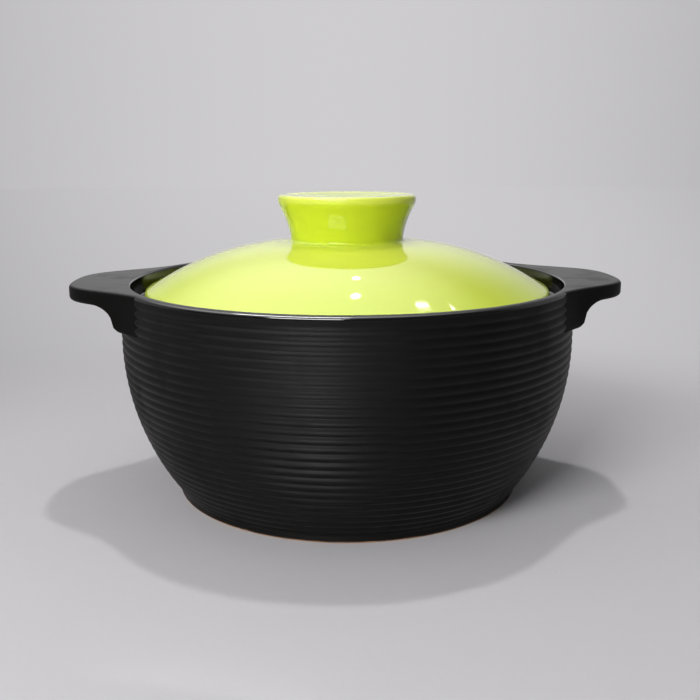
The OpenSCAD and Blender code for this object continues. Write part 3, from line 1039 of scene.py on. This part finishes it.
@dataclass(frozen=True)
class Dome:
    """The domed lid: an edge roll, a cone, a shoulder arc and a flat crown, over a flange in the seat."""

    bowl: Bowl
    clearance: float = 5.4 * MM
    thickness: float = 5.5 * MM
    edge_h: float = 3.6 * MM
    edge_r: float = 3 * MM
    bevel: float = 0.8 * MM
    cone_w: float = 9.3 * MM
    cone_angle: float = 28.6
    crown_arc_r: float = 330 * MM
    crown_w: float = 39.5 * MM
    flange_clearance: float = 1.4 * MM
    flange_t: float = 4.2 * MM
    flange_h: float = 6 * MM
    flange_edge: float = 1 * MM
    hole_r: float = 19 * MM
    bearing_w: float = 6 * MM
    bearing_wipe_h: float = 0.3 * MM
    glaze_margin: float = 1 * MM
    # Where the glaze pools round the knob and in the rolled edge
    knob_pool_w: float = 1.4 * MM
    roll_pool_w: float = 1.2 * MM
    # The crown is painted paler in the thin colour, as painted light from above, fading towards the shoulder
    painted_light_crown_share: float = 0.7
    painted_light_crown_soft_share: float = 0.28
    steps: int = 40
    roll_steps: int = 12
    cone_steps: int = 4
    flange_steps: int = 6
    bevel_steps: int = 5
    sharp_angle: float = 40.0

    @property
    def radius(self) -> float:
        """Radius of the lid."""
        return self.bowl.seat_outer_r - self.clearance

    def _shoulder(self) -> tuple[Point, Point, float, float]:
        """Works out the shoulder between the cone and the crown.

        Returns:
            Foot of the cone, and centre, radius and upper angle in degrees of the shoulder's arc.
        """
        slope = math.radians(self.cone_angle)
        foot = (self.radius - self.edge_r + self.edge_r * math.sin(slope),
                self.bowl.seat_h + self.edge_h + self.edge_r * math.cos(slope))
        top = (foot[0] - self.cone_w, foot[1] + self.cone_w * math.tan(slope))
        crown = math.asin(self.crown_w / self.crown_arc_r)
        radius = (top[0] - self.crown_w) / (math.sin(slope) - math.sin(crown))
        centre = (top[0] - radius * math.sin(slope), top[1] - radius * math.cos(slope))
        return foot, centre, radius, math.degrees(crown)

    @property
    def crown_centre_h(self) -> float:
        """Height of the centre of the crown's arc, on the lid's axis."""
        _, centre, radius, crown = self._shoulder()
        return centre[1] + (radius - self.crown_arc_r) * math.cos(math.radians(crown))

    @property
    def top_h(self) -> float:
        """Height of the dome's top, under the knob."""
        return self.crown_centre_h + self.crown_arc_r

    def crown_h(self, radius: float) -> float:
        """Gives the crown's height at a radius."""
        return self.crown_centre_h + math.sqrt(self.crown_arc_r ** 2 - radius ** 2)

    def outline(self) -> list[Point]:
        """Gives the closed section of the lid, from its upright edge over the dome and back underneath.

        Returns:
            The section's points, with the first one again at the end.
        """
        foot, centre, shoulder_r, crown = self._shoulder()
        slope, seat = self.cone_angle, self.bowl.seat_h
        axis = (0.0, self.crown_centre_h)
        hole = math.degrees(math.asin(self.hole_r / self.crown_arc_r))
        under_hole = math.degrees(math.asin(self.hole_r / (self.crown_arc_r - self.thickness)))
        rise = math.tan(math.radians(slope))
        roll = (self.radius - self.edge_r, seat + self.edge_h)
        upper = arc(roll, self.edge_r, 0, 90 - slope, self.roll_steps)
        lengths = [self.cone_w * i / self.cone_steps for i in range(1, self.cone_steps)]
        cone = [(foot[0] - length, foot[1] + length * rise) for length in lengths]
        upper += cone + arc(centre, shoulder_r, 90 - slope, 90 - crown, self.steps)
        upper += arc(axis, self.crown_arc_r, 90 - crown, 90 - hole, self.steps // 2)[1:]
        lower = arc(axis, self.crown_arc_r - self.thickness, 90 - under_hole, 90 - crown, self.steps // 2)
        lower += arc(centre, shoulder_r - self.thickness, 90 - crown, 90 - slope, self.steps)[1:]
        flange_r = self.bowl.seat_outer_r - self.bowl.seat_w - self.flange_clearance
        inner, rounding = flange_r - self.flange_t, self.flange_edge
        under = foot[1] + (foot[0] - inner) * rise - self.thickness / math.cos(math.radians(slope))
        low = seat - self.flange_h + rounding
        lower += [(inner, under)]
        lower += arc((inner + rounding, low), rounding, 180, 270, self.flange_steps)
        lower += arc((flange_r - rounding, low), rounding, 270, 360, self.flange_steps)
        corner_r = self.radius - self.bevel
        lower += [(flange_r, seat), (corner_r, seat)]
        lower += arc((corner_r, seat + self.bevel), self.bevel, 270, 360, self.bevel_steps)[1:]
        return upper + lower + upper[:1]

    def build(self, bench: Bench) -> bpy.types.Object:
        """Turns the dome.

        Args:
            bench: The bench that it is made on.

        Returns:
            The dome, riding on the lid.
        """
        piece = bench.turn("glazed_dome", self.outline(), self.sharp_angle)
        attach(piece, Body.LID.value)
        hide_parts("lid_dome")
        return piece

    def dress(self, piece: bpy.types.Object, finishes: Finishes, knob_foot_r: float) -> None:
        """Glazes the dome, thick round the knob and in the rolled edge, with painted light on its crown, and
        wipes its seat and flange clean.

        Args:
            piece: The turned dome.
            finishes: The glazes.
            knob_foot_r: Outer radius of the knob's foot, where the glaze pools.
        """
        seat = self.bowl.seat_h
        bearing = Band(self.radius - self.bearing_w, self.radius - self.bevel, seat - self.glaze_margin,
                       seat + self.bearing_wipe_h)
        flange_foot = Band(high=seat - self.flange_h + self.flange_edge)
        round_knob = Band(outer=knob_foot_r + self.knob_pool_w,
                          low=self.crown_h(knob_foot_r) - self.glaze_margin)
        roll = Band(inner=self.radius - self.roll_pool_w, high=seat + self.edge_h + self.edge_r)
        # Painted light: the crown is paler, in the glaze's thin colour
        crown = Band(outer=self.painted_light_crown_share * self.radius, low=seat + self.edge_h,
                     soft=self.painted_light_crown_soft_share * self.radius)
        piece.data.materials.append(finishes.lime.build(
            finishes.effects, "dome", bare=(bearing, flange_foot), pools=(round_knob, roll), edges=(crown,)))


@dataclass(frozen=True)
class Knob:
    """The flared knob, with a round lip and a shallow dish, hollow from below."""

    dome: Dome
    height: float = 21 * MM
    # The flare would stand upright at this radius, a little below the top of the dome
    waist_r: float = 26.9 * MM
    waist_depth: float = 7.2 * MM
    flare_r: float = 47.5 * MM
    cheek_r: float = 6.8 * MM
    lip_r: float = 2 * MM
    foot_r: float = 1.4 * MM
    dish_h: float = 2.4 * MM
    roof_t: float = 5.8 * MM
    hollow_edge: float = 4 * MM
    sink: float = 0.6 * MM
    waist_pool_h: float = 0.4 * MM
    # The lip's top is paler within these shares of its radius, in from its centre and down from its top: thin
    # glaze and painted light
    thin_and_lit_in_share: float = 2.0
    thin_and_lit_down_share: float = 1.5
    thin_and_lit_soft: float = 1 * MM
    steps: int = 24
    sharp_angle: float = 40.0

    @property
    def flare_centre(self) -> Point:
        """Centre of the hollow curve between the dome and the lip."""
        return self.waist_r + self.flare_r, self.dome.top_h - self.waist_depth

    @property
    def foot_centre(self) -> Point:
        """Centre of the foot's fillet, which touches the crown from above and the flare from within.

        Returns:
            Radius and height of the centre.
        """
        centre, reach = self.flare_centre, self.flare_r - self.foot_r
        height = self.dome.crown_h(self.waist_r + self.foot_r) + self.foot_r
        return centre[0] - math.sqrt(reach ** 2 - (height - centre[1]) ** 2), height

    @property
    def top_h(self) -> float:
        """Height of the top of the knob's lip."""
        return self.dome.top_h + self.height

    @property
    def cheek_centre(self) -> Point:
        """Centre of the curve that leads out of the flare to the widest part of the lip.

        Returns:
            Radius and height of the centre.
        """
        centre, reach = self.flare_centre, self.flare_r + self.cheek_r
        height = self.top_h - self.lip_r
        return centre[0] - math.sqrt(reach ** 2 - (height - centre[1]) ** 2), height

    @property
    def lip_centre(self) -> Point:
        """Centre of the round lip, above its widest part."""
        centre = self.cheek_centre
        return centre[0] + self.cheek_r - self.lip_r, centre[1]

    def _touch_angle(self, centre: Point) -> float:
        """Gives the angle in degrees, seen from the flare's centre, at which a circle touches the flare."""
        flare = self.flare_centre
        return math.degrees(math.atan2(centre[1] - flare[1], flare[0] - centre[0]))

    def outline(self) -> list[Point]:
        """Gives the knob's section, from the middle of its dish out, down and into the hollow.

        Returns:
            The section's points, with both ends on the axis.
        """
        lip, foot = self.lip_centre, self.foot_centre
        top, low = self._touch_angle(self.cheek_centre), self._touch_angle(foot)
        dish_r = (lip[0] ** 2 + self.dish_h ** 2) / (2 * self.dish_h) - self.lip_r
        dish_angle = math.degrees(math.asin(lip[0] / (dish_r + self.lip_r)))
        slope = math.degrees(math.asin(foot[0] / self.dome.crown_arc_r))
        outer = arc((0.0, self.top_h - self.dish_h + dish_r), dish_r, -90, dish_angle - 90, self.steps)
        outer += arc(lip, self.lip_r, 90 + dish_angle, 0, self.steps // 2)[1:]
        outer += arc(self.cheek_centre, self.cheek_r, 0, -top, self.steps // 2)[1:]
        outer += arc(self.flare_centre, self.flare_r, 180 - top, 180 - low, self.steps)[1:]
        outer += arc(foot, self.foot_r, 180 - low, 270 - slope, self.steps // 2)[1:]
        hole, roof = self.dome.hole_r, self.top_h - self.dish_h - self.roof_t
        base = [(foot[0] - self.sink, self.dome.crown_h(foot[0]) - self.sink),
                (hole, self.dome.crown_h(hole) - self.sink)]
        bend = self.hollow_edge
        hollow = arc((hole - bend, roof - bend), bend, 0, 90, self.steps // 3)
        return outer + base + hollow + [(0.0, roof)]

    def build(self, bench: Bench) -> bpy.types.Object:
        """Turns the knob.

        Args:
            bench: The bench that it is made on.

        Returns:
            The knob, riding on the lid.
        """
        piece = bench.turn("flared_knob", self.outline(), self.sharp_angle)
        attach(piece, Body.LID.value)
        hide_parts("lid_knob")
        return piece

    def dress(self, piece: bpy.types.Object, finishes: Finishes) -> None:
        """Glazes the knob, paler over its lip's top for thin glaze and painted light, and thick at its waist.

        Args:
            piece: The turned knob.
            finishes: The glazes.
        """
        # Thin glaze with painted light: the lip's top is paler
        lip = Band(inner=self.lip_centre[0] - self.thin_and_lit_in_share * self.lip_r,
                   low=self.top_h - self.thin_and_lit_down_share * self.lip_r, soft=self.thin_and_lit_soft)
        waist = Band(high=self.dome.top_h + self.waist_pool_h)
        piece.data.materials.append(
            finishes.lime.build(finishes.effects, "knob", pools=(waist,), edges=(lip,)))


class Reach(Enum):
    """What a lamp does in the studio."""

    ALL = "lights the set and shows in its gloss"
    LIGHT = "lights the set"
    GLINT = "shows in the gloss"


@dataclass(frozen=True)
class Lamp:
    """A lamp with a flat face, placed by its direction and distance from the lid and turned to it.

    Azimuth, elevation and roll are in degrees, and the azimuth goes to the right of the camera's heading, so
    a lamp behind the casserole has one near zero. The other sizes are in metres, and the radiance is that of
    its face.
    """

    name: str
    azimuth: float
    elevation: float
    distance: float
    width: float
    height: float
    radiance: float
    reach: Reach = Reach.ALL
    roll: float = 0.0
    soft_edge: bool = False


@dataclass(frozen=True)
class Studio:
    """Paper floor, the room's soft light, the lamps and the camera."""

    # The camera stands this far from the pot's axis and this high, turned this much off the handles' square
    camera_distance: float = 444.6 * MM
    camera_height: float = 164.5 * MM
    camera_pitch: float = 12.49
    camera_turn: float = 2.6
    camera_roll: float = -0.13
    # Focal length and middle of the view, in pixels of the photograph's frame
    focal_px: float = 900.7
    middle_px: Point = (347.3, 350.5)
    frame_px: float = 700.0
    sensor_mm: float = 36.0
    # The lamps are turned to this place in the lid
    target: tuple[float, float, float] = (0.0, 0.0, 105 * MM)
    floor_r: float = 4.0
    floor_steps: int = 96
    floor_colour: Colour = (0.56, 0.545, 0.565, 1.0)
    floor_roughness: float = 0.9
    floor_sheen: float = 0.2
    fibre: Cloud = Cloud(1.5 * MM, 4.0, 0.7)
    fibre_share: float = 0.02
    stain: Cloud = Cloud(220 * MM, 3.0, 0.55)
    stain_share: float = 0.025
    room_colour: Colour = (0.575, 0.565, 0.58, 1.0)
    # Soft light from all round, which grows with the square of the height and is stronger from the left
    ambient: float = 0.25
    ambient_low: float = 0.03
    ambient_rise: float = 2.2
    ambient_left: float = 0.3
    # The backdrop is brightest a little left of the middle and falls off with the square of the distance
    peak: float = 1.07
    peak_shift: float = 0.015
    falloff: float = 1.45
    least: float = 0.5
    # What the nearer floor changes in that, each over its distance from the camera in metres
    near_shift: float = 0.09
    near_falloff: float = 0.5
    near_drop: float = 0.05
    # The floor turns into a glowing surface painted with the backdrop's light between these distances from
    # the pot, and behind it
    fade_out: Point = (0.12, 0.42)
    fade_behind: Point = (-0.15, 0.15)
    # How bright the room behind the camera is, against the backdrop, and where it starts
    dark_side: float = 0.10
    dark_edge: Point = (-0.35, 0.25)
    # Lamps narrower than this are round
    round_w: float = 300 * MM
    # A soft face fades out between these shares of its size from the middle
    soft_face_shares: Point = (0.03, 0.5)
    lamps: tuple[Lamp, ...] = (
        Lamp("key_softbox", -150.0, 26.0, 1.3, 0.60, 0.45, 17.4, Reach.LIGHT),
        Lamp("key_strip", -160.0, 30.0, 1.3, 0.74, 0.28, 13.5, Reach.GLINT),
        Lamp("table_card", -167.0, -26.5, 0.225, 0.08, 0.05, 13.0, Reach.GLINT),
        Lamp("ceiling_lamp", 10.0, 75.5, 2.6, 0.13, 0.13, 390.0),
        Lamp("ceiling_panel", -60.0, 74.0, 1.3, 3.8, 3.8, 3.1, Reach.GLINT, soft_edge=True),
        Lamp("back_panel", 0.0, 22.0, 1.6, 3.4, 1.6, 0.45, Reach.GLINT, soft_edge=True),
        Lamp("strip_softbox", -118.8, 71.1, 1.3, 0.87, 0.12, 40.0, Reach.GLINT, roll=37.4),
        Lamp("ceiling_glint_near", 4.3, 64.2, 2.6, 0.10, 0.18, 20.0, Reach.GLINT),
        Lamp("ceiling_glint_far", 2.8, 51.0, 2.6, 0.07, 0.12, 20.0, Reach.GLINT),
        Lamp("strip_glint", 32.9, 58.7, 2.57, 0.157, 0.018, 30.0, Reach.GLINT, roll=65.0),
        Lamp("side_glint", 37.2, 51.8, 2.57, 0.035, 0.020, 20.0, Reach.GLINT, roll=65.0),
    )

    def build(self) -> None:
        """Builds the floor, the room's light, the lamps and the camera."""
        self._floor()
        self._room()
        for lamp in self.lamps:
            self._lamp(lamp)
        self._camera()
        bpy.context.scene.view_settings.view_transform = "Standard"

    def _direction(self, azimuth: float, elevation: float) -> Vector:
        """Gives the direction at an azimuth from the camera's heading and an elevation, in degrees."""
        turn, lift = math.radians(azimuth + self.camera_turn), math.radians(elevation)
        return Vector((math.sin(turn) * math.cos(lift), math.cos(turn) * math.cos(lift), math.sin(lift)))

    def _floor(self) -> None:
        """Lays the pale paper floor, which far from the pot fades into a glowing surface painted in the
        room's colour.
        """
        bpy.ops.object.select_all(action="DESELECT")
        bpy.ops.mesh.primitive_circle_add(vertices=self.floor_steps, radius=self.floor_r, fill_type="NGON")
        floor = bpy.context.object
        floor.name = "paper_floor"
        material = bpy.data.materials.new("pale_paper")
        material.use_nodes = True
        w = Wiring(material.node_tree)
        paper = material.node_tree.nodes["Principled BSDF"]
        at = w.node("ShaderNodeTexCoord").outputs["Object"]
        fibre = w.scale(w.cloud(at, self.fibre), -self.fibre_share, self.fibre_share)
        stain = w.scale(w.cloud(at, self.stain), -self.stain_share, self.stain_share)
        value = w.plus(1.0, w.plus(fibre, stain))
        tone = w.node("ShaderNodeHueSaturation", {"Color": self.floor_colour, "Value": value}).outputs[0]
        w.feed(paper.inputs["Base Color"], tone)
        paper.inputs["Roughness"].default_value = self.floor_roughness
        paper.inputs["Specular IOR Level"].default_value = self.floor_sheen
        ahead, aside = self._views(w, at)
        near = w.math("DIVIDE", 1.0, w.plus(ahead, self.camera_distance))
        across = w.minus(w.times(aside, near), w.times(near, self.near_shift))
        level = self._level(w, across, w.minus(self.falloff, w.times(near, self.near_falloff)))
        level = w.minus(level, w.times(w.math("POWER", near, 2.0), self.near_drop))
        # Painted light: the far floor glows at the backdrop's level, though it is no lamp
        glow = w.node("ShaderNodeEmission", {"Color": self.room_colour, "Strength": level})
        fade = w.times(w.step(w.vector("LENGTH", at), *self.fade_out), w.step(ahead, *self.fade_behind))
        fade = w.times(fade, self._seen(w))
        blend = w.node("ShaderNodeMixShader", {0: fade, 1: paper.outputs[0], 2: glow.outputs[0]})
        w.feed(material.node_tree.nodes["Material Output"].inputs["Surface"], blend.outputs[0])
        floor.data.materials.append(material)

    def _room(self) -> None:
        """Fills the room with plain soft light, and shows a pale wall to the camera and in the gloss."""
        world = bpy.data.worlds.new("studio_room")
        bpy.context.scene.world = world
        world.use_nodes = True
        w = Wiring(world.node_tree)
        light = world.node_tree.nodes["Background"]
        light.inputs["Color"].default_value = (1.0, 1.0, 1.0, 1.0)
        ray = w.node("ShaderNodeTexCoord").outputs["Generated"]
        ahead, aside = self._views(w, ray)
        level = w.times(self._level(w, aside, self.falloff), w.step(ahead, *self.dark_edge))
        level = w.math("MAXIMUM", level, self.dark_side)
        above = w.math("MAXIMUM", w.node("ShaderNodeSeparateXYZ", {0: ray}).outputs[2], 0.0)
        lift = w.plus(w.times(w.math("POWER", above, 2.0), self.ambient_rise), self.ambient_low)
        left = w.minus(1.0, w.times(aside, self.ambient_left))
        w.feed(light.inputs["Strength"], w.times(w.times(lift, left), self.ambient))
        wall = w.node("ShaderNodeBackground", {"Color": self.room_colour, "Strength": level})
        blend = w.node("ShaderNodeMixShader", {0: self._seen(w), 1: light.outputs[0], 2: wall.outputs[0]})
        w.feed(world.node_tree.nodes["World Output"].inputs["Surface"], blend.outputs[0])

    def _views(self, w: Wiring, vector: Any) -> tuple[Socket, Socket]:
        """Gives how far a vector reaches along the camera's heading and to the right of it."""
        ahead, right = self._direction(0.0, 0.0), self._direction(90.0, 0.0)
        return w.vector("DOT_PRODUCT", vector, ahead), w.vector("DOT_PRODUCT", vector, right)

    def _level(self, w: Wiring, across: Any, drop: Any) -> Socket:
        """Gives how bright the backdrop is at a distance across the view, with its falloff there."""
        square = w.math("POWER", w.plus(across, self.peak_shift), 2.0)
        return w.math("MAXIMUM", w.minus(self.peak, w.times(square, drop)), self.least)

    @staticmethod
    def _seen(w: Wiring) -> Socket:
        """Tells what the camera sees straight, in gloss or through glass from light on the set.

        Args:
            w: Wiring of the material or the world.

        Returns:
            1 for what is seen, and 0 for the light.
        """
        path = w.node("ShaderNodeLightPath").outputs
        seen = w.math("MAXIMUM", path["Is Camera Ray"], path["Is Glossy Ray"])
        return w.math("MAXIMUM", seen, path["Is Transmission Ray"])

    def _lamp(self, lamp: Lamp) -> None:
        """Hangs one lamp, turned towards the lid.

        Args:
            lamp: What the lamp is like and where it goes.
        """
        data = bpy.data.lights.new(lamp.name, "AREA")
        data.shape = "RECTANGLE" if lamp.width > self.round_w else "ELLIPSE"
        data.size, data.size_y = lamp.width, lamp.height
        share = 1.0 if data.shape == "RECTANGLE" else math.pi / 4
        data.energy = lamp.radiance * math.pi * lamp.width * lamp.height * share
        if lamp.soft_edge:
            self._soften(data)
        made = bpy.data.objects.new(lamp.name, data)
        bpy.context.scene.collection.objects.link(made)
        away = self._direction(lamp.azimuth, lamp.elevation)
        made.location = Vector(self.target) + away * lamp.distance
        facing = away.to_track_quat("Z", "Y").to_matrix() @ Matrix.Rotation(math.radians(lamp.roll), 3, "Z")
        made.rotation_euler = facing.to_euler()
        made.visible_camera = False
        made.visible_diffuse = lamp.reach is not Reach.GLINT
        made.visible_glossy = lamp.reach is not Reach.LIGHT

    def _soften(self, data: bpy.types.AreaLight) -> None:
        """Lets a lamp's face fade out from its middle to its edges.

        Args:
            data: The lamp's own data.
        """
        data.use_nodes = True
        w = Wiring(data.node_tree)
        across = w.node("ShaderNodeNewGeometry").outputs["Parametric"]
        out = w.vector("DISTANCE", across, (0.5, 0.5, 0.0))
        fade = w.minus(1.0, w.step(out, *self.soft_face_shares))
        w.feed(data.node_tree.nodes["Emission"].inputs["Strength"], fade)

    def _camera(self) -> None:
        """Sets up the camera at the photograph's place and angle."""
        data = bpy.data.cameras.new("studio_camera")
        camera = bpy.data.objects.new("studio_camera", data)
        bpy.context.scene.collection.objects.link(camera)
        data.sensor_width = self.sensor_mm
        data.lens = self.focal_px / self.frame_px * self.sensor_mm
        data.shift_x = 0.5 - self.middle_px[0] / self.frame_px
        data.shift_y = self.middle_px[1] / self.frame_px - 0.5
        turn = math.radians(self.camera_turn)
        camera.location = (-self.camera_distance * math.sin(turn), -self.camera_distance * math.cos(turn),
                           self.camera_height)
        pitch = Matrix.Rotation(math.radians(90 - self.camera_pitch), 3, "X")
        roll = Matrix.Rotation(math.radians(self.camera_roll), 3, "Z")
        camera.rotation_euler = (Matrix.Rotation(-turn, 3, "Z") @ pitch @ roll).to_euler()
        bpy.context.scene.camera = camera


def report(piece: bpy.types.Object) -> None:
    """Logs a piece with its faces and its size in millimetres."""
    size = [round(extent / MM, 1) for extent in piece.dimensions]
    LOG.info("%s: %d faces, %s mm", piece.name, len(piece.data.polygons), size)


def main() -> None:
    """Builds the pot and the lid, dresses them and sets up the studio."""
    logging.basicConfig(level=logging.INFO, format="%(name)s: %(message)s")
    bench = Bench()
    finishes = Finishes(Effects())
    wall = Wall()
    bowl = Bowl(wall)
    foot = FootRing(wall)
    handle = Handle(bowl)
    dome = Dome(bowl)
    knob = Knob(dome)

    pot = bowl.build(bench)
    bowl.dress(pot, finishes)
    report(pot)
    ring = foot.build(bench)
    foot.dress(ring, finishes)
    report(ring)
    for name, node, side in (("right_lug", "handle_right", Side.RIGHT),
                             ("left_lug", "handle_left", Side.LEFT)):
        lug = handle.build(bench, name, node, side)
        handle.dress(lug, finishes)
        report(lug)
    lid = dome.build(bench)
    dome.dress(lid, finishes, knob.foot_centre[0])
    report(lid)
    grip = knob.build(bench)
    knob.dress(grip, finishes)
    report(grip)

    Studio().build()
    bench.clear()


if __name__ == "__main__":
    main()
